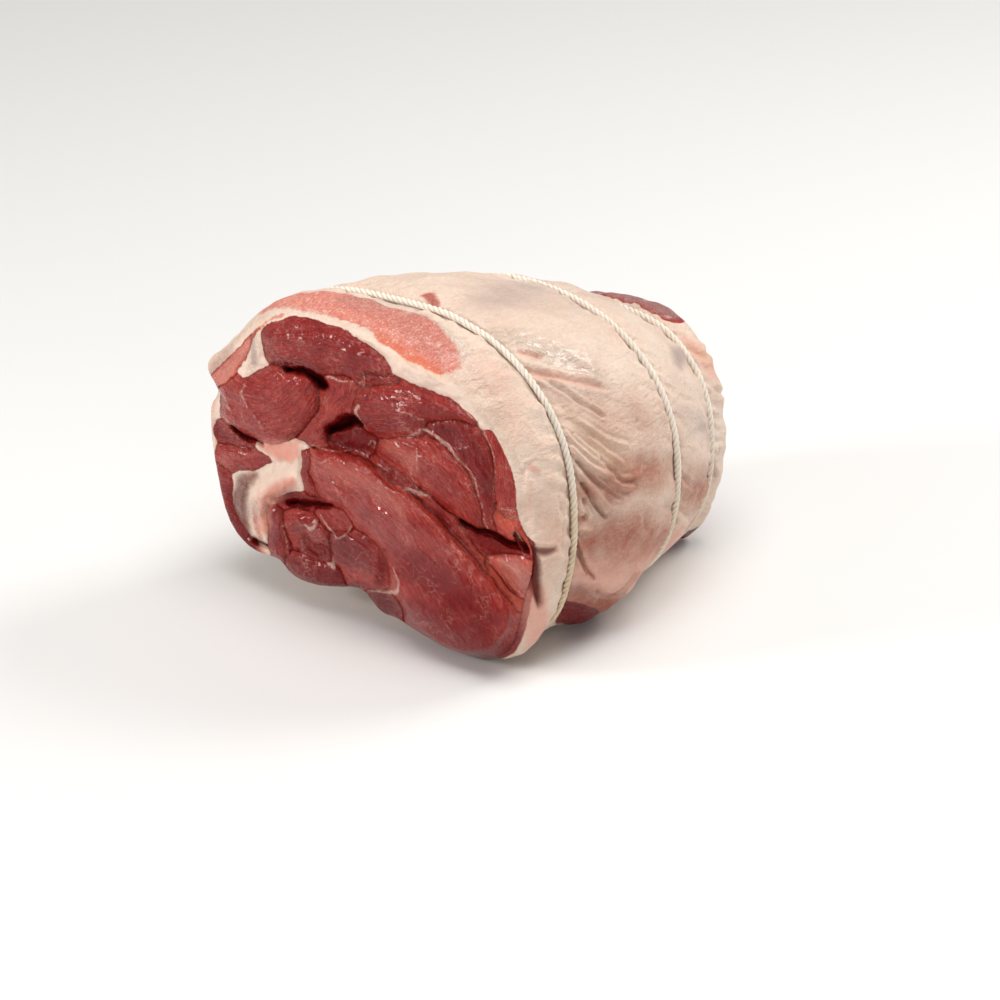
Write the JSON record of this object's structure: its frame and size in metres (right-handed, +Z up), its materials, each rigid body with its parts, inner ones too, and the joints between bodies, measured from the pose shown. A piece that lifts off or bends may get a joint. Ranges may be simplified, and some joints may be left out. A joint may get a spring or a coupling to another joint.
{
  "type": "raw boneless lamb shoulder roast, rolled and tied",
  "caption": "Raw boned shoulder of lamb, rolled in its fat cover and tied with loops of twine, with layered muscles showing on the cut face.",
  "frame": {"origin": "bottom centre of the bounding box, on the surface that the roll rests on", "axes": "+Z up; the roll lies along Y, with its wide cut face looking along -Y and its narrow shank end along +Y"},
  "size_m": [0.1568, 0.1602, 0.1248],
  "materials": {
    "meat": "moist red muscle on the cut, pale satin fat cover on the outside",
    "twine": "off-white cotton butcher's twine, slightly damp"
  },
  "bodies": {
    "root": {"meat": "meat", "twine_front": "twine", "twine_middle": "twine", "twine_back": "twine"}
  },
  "joints": []
}
